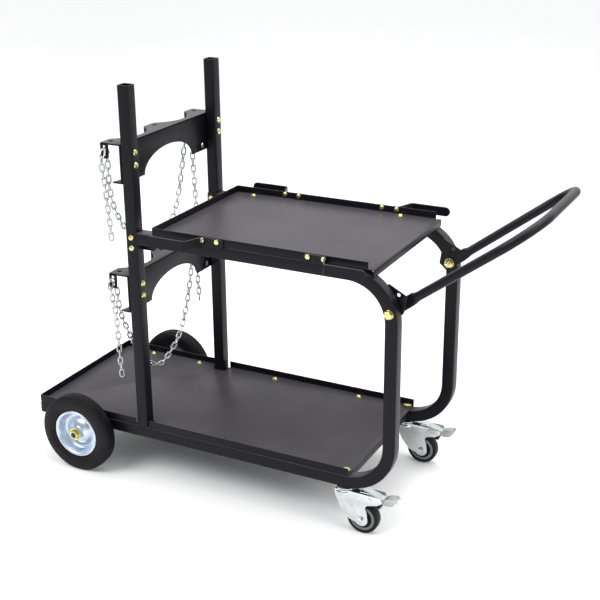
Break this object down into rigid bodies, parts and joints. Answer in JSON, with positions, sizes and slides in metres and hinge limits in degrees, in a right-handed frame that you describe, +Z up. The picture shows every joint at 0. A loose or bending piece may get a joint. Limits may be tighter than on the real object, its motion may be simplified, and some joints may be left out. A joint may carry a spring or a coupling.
{
  "type": "welding cart",
  "caption": "Open two-shelf welding cart of bent square tube with bottle brackets and chains on tall rear posts, fixed rear wheels, braked front casters and a fold-down U handle.",
  "frame": {"origin": "middle of the footprint, on the floor", "axes": "+X to the front with the handle, +Z up, -Y the near side"},
  "size_m": [1.3009, 0.52, 1.003],
  "materials": {
    "black_coat": "satin black powder coat with a fine grain",
    "zinc": "bright zinc plate",
    "yellow_zinc": "yellow passivated zinc plate",
    "dark_steel": "oiled dark steel",
    "tyre": "matt black rubber",
    "rubber": "semi-matt black tread",
    "grey_plastic": "matt grey moulding"
  },
  "bodies": {
    "cart_frame": {"side_frame_near": "black_coat", "side_frame_far": "black_coat", "rear_post_near": "black_coat", "rear_post_far": "black_coat", "lower_tray": "black_coat", "upper_tray": "black_coat", "bottle_bracket_upper": "black_coat", "bottle_bracket_lower": "black_coat", "bracket_bolt_upper_1_near": "yellow_zinc", "bracket_bolt_upper_1_far": "yellow_zinc", "bracket_bolt_upper_2_near": "yellow_zinc", "bracket_bolt_upper_2_far": "yellow_zinc", "bracket_bolt_lower_1_near": "yellow_zinc", "bracket_bolt_lower_1_far": "yellow_zinc", "bracket_bolt_lower_2_near": "yellow_zinc", "bracket_bolt_lower_2_far": "yellow_zinc", "bottle_chain_upper": "zinc", "bottle_chain_lower": "zinc", "rail_bolt_1_near": "yellow_zinc", "rail_bolt_1_far": "yellow_zinc", "rail_bolt_2_near": "yellow_zinc", "rail_bolt_2_far": "yellow_zinc", "cable_hook_rear_near": "black_coat", "cable_hook_rear_far": "black_coat", "cable_hook_front_near": "black_coat", "cable_hook_front_far": "black_coat", "rear_axle": "dark_steel", "axle_bracket_near": "black_coat", "axle_bracket_far": "black_coat", "axle_nut_near": "yellow_zinc", "axle_nut_far": "yellow_zinc", "caster_stem_near": "yellow_zinc", "caster_stem_far": "yellow_zinc", "caster_nut_near": "yellow_zinc", "caster_nut_far": "yellow_zinc", "pivot_bolt_near": "yellow_zinc", "pivot_bolt_far": "yellow_zinc", "pivot_nut_near": "yellow_zinc", "pivot_nut_far": "yellow_zinc"},
    "rear_wheel_near": {"rear_tyre_near": "tyre", "rear_rim_near": "zinc"},
    "caster_near": {"caster_fork_near": "zinc", "caster_axle_near": "zinc"},
    "caster_wheel_near": {"caster_core_near": "grey_plastic", "caster_tread_near": "rubber"},
    "brake_near": {"brake_pedal_near": "zinc"},
    "rear_wheel_far": {"rear_tyre_far": "tyre", "rear_rim_far": "zinc"},
    "caster_far": {"caster_fork_far": "zinc", "caster_axle_far": "zinc"},
    "caster_wheel_far": {"caster_core_far": "grey_plastic", "caster_tread_far": "rubber"},
    "brake_far": {"brake_pedal_far": "zinc"},
    "handle": {"handle_tube": "black_coat", "handle_plate_near": "black_coat", "handle_plate_far": "black_coat"}
  },
  "joints": [
    {"name": "rear_wheel_spin_near", "type": "hinge", "parent": "cart_frame", "child": "rear_wheel_near", "pos_m": [-0.5055, -0.234, 0.1025], "axis": [0, 1, 0], "continuous": true},
    {"name": "caster_swivel_near", "type": "hinge", "parent": "cart_frame", "child": "caster_near", "pos_m": [0.2285, -0.188, 0.105], "axis": [0, 0, 1], "continuous": true},
    {"name": "caster_spin_near", "type": "hinge", "parent": "caster_near", "child": "caster_wheel_near", "pos_m": [0.2745, -0.188, 0.0396], "axis": [0, 1, 0], "continuous": true},
    {"name": "brake_press_near", "type": "hinge", "parent": "caster_near", "child": "brake_near", "pos_m": [0.2945, -0.188, 0.096], "axis": [0, 1, 0], "range_deg": [0, 20]},
    {"name": "rear_wheel_spin_far", "type": "hinge", "parent": "cart_frame", "child": "rear_wheel_far", "pos_m": [-0.5055, 0.234, 0.1025], "axis": [0, 1, 0], "continuous": true},
    {"name": "caster_swivel_far", "type": "hinge", "parent": "cart_frame", "child": "caster_far", "pos_m": [0.2285, 0.188, 0.105], "axis": [0, 0, 1], "continuous": true},
    {"name": "caster_spin_far", "type": "hinge", "parent": "caster_far", "child": "caster_wheel_far", "pos_m": [0.2745, 0.188, 0.0396], "axis": [0, 1, 0], "continuous": true},
    {"name": "brake_press_far", "type": "hinge", "parent": "caster_far", "child": "brake_far", "pos_m": [0.2945, 0.188, 0.096], "axis": [0, 1, 0], "range_deg": [0, 20]},
    {"name": "handle_fold", "type": "hinge", "parent": "cart_frame", "child": "handle", "pos_m": [0.3335, 0, 0.562], "axis": [0, 1, 0], "range_deg": [0, 95]}
  ]
}
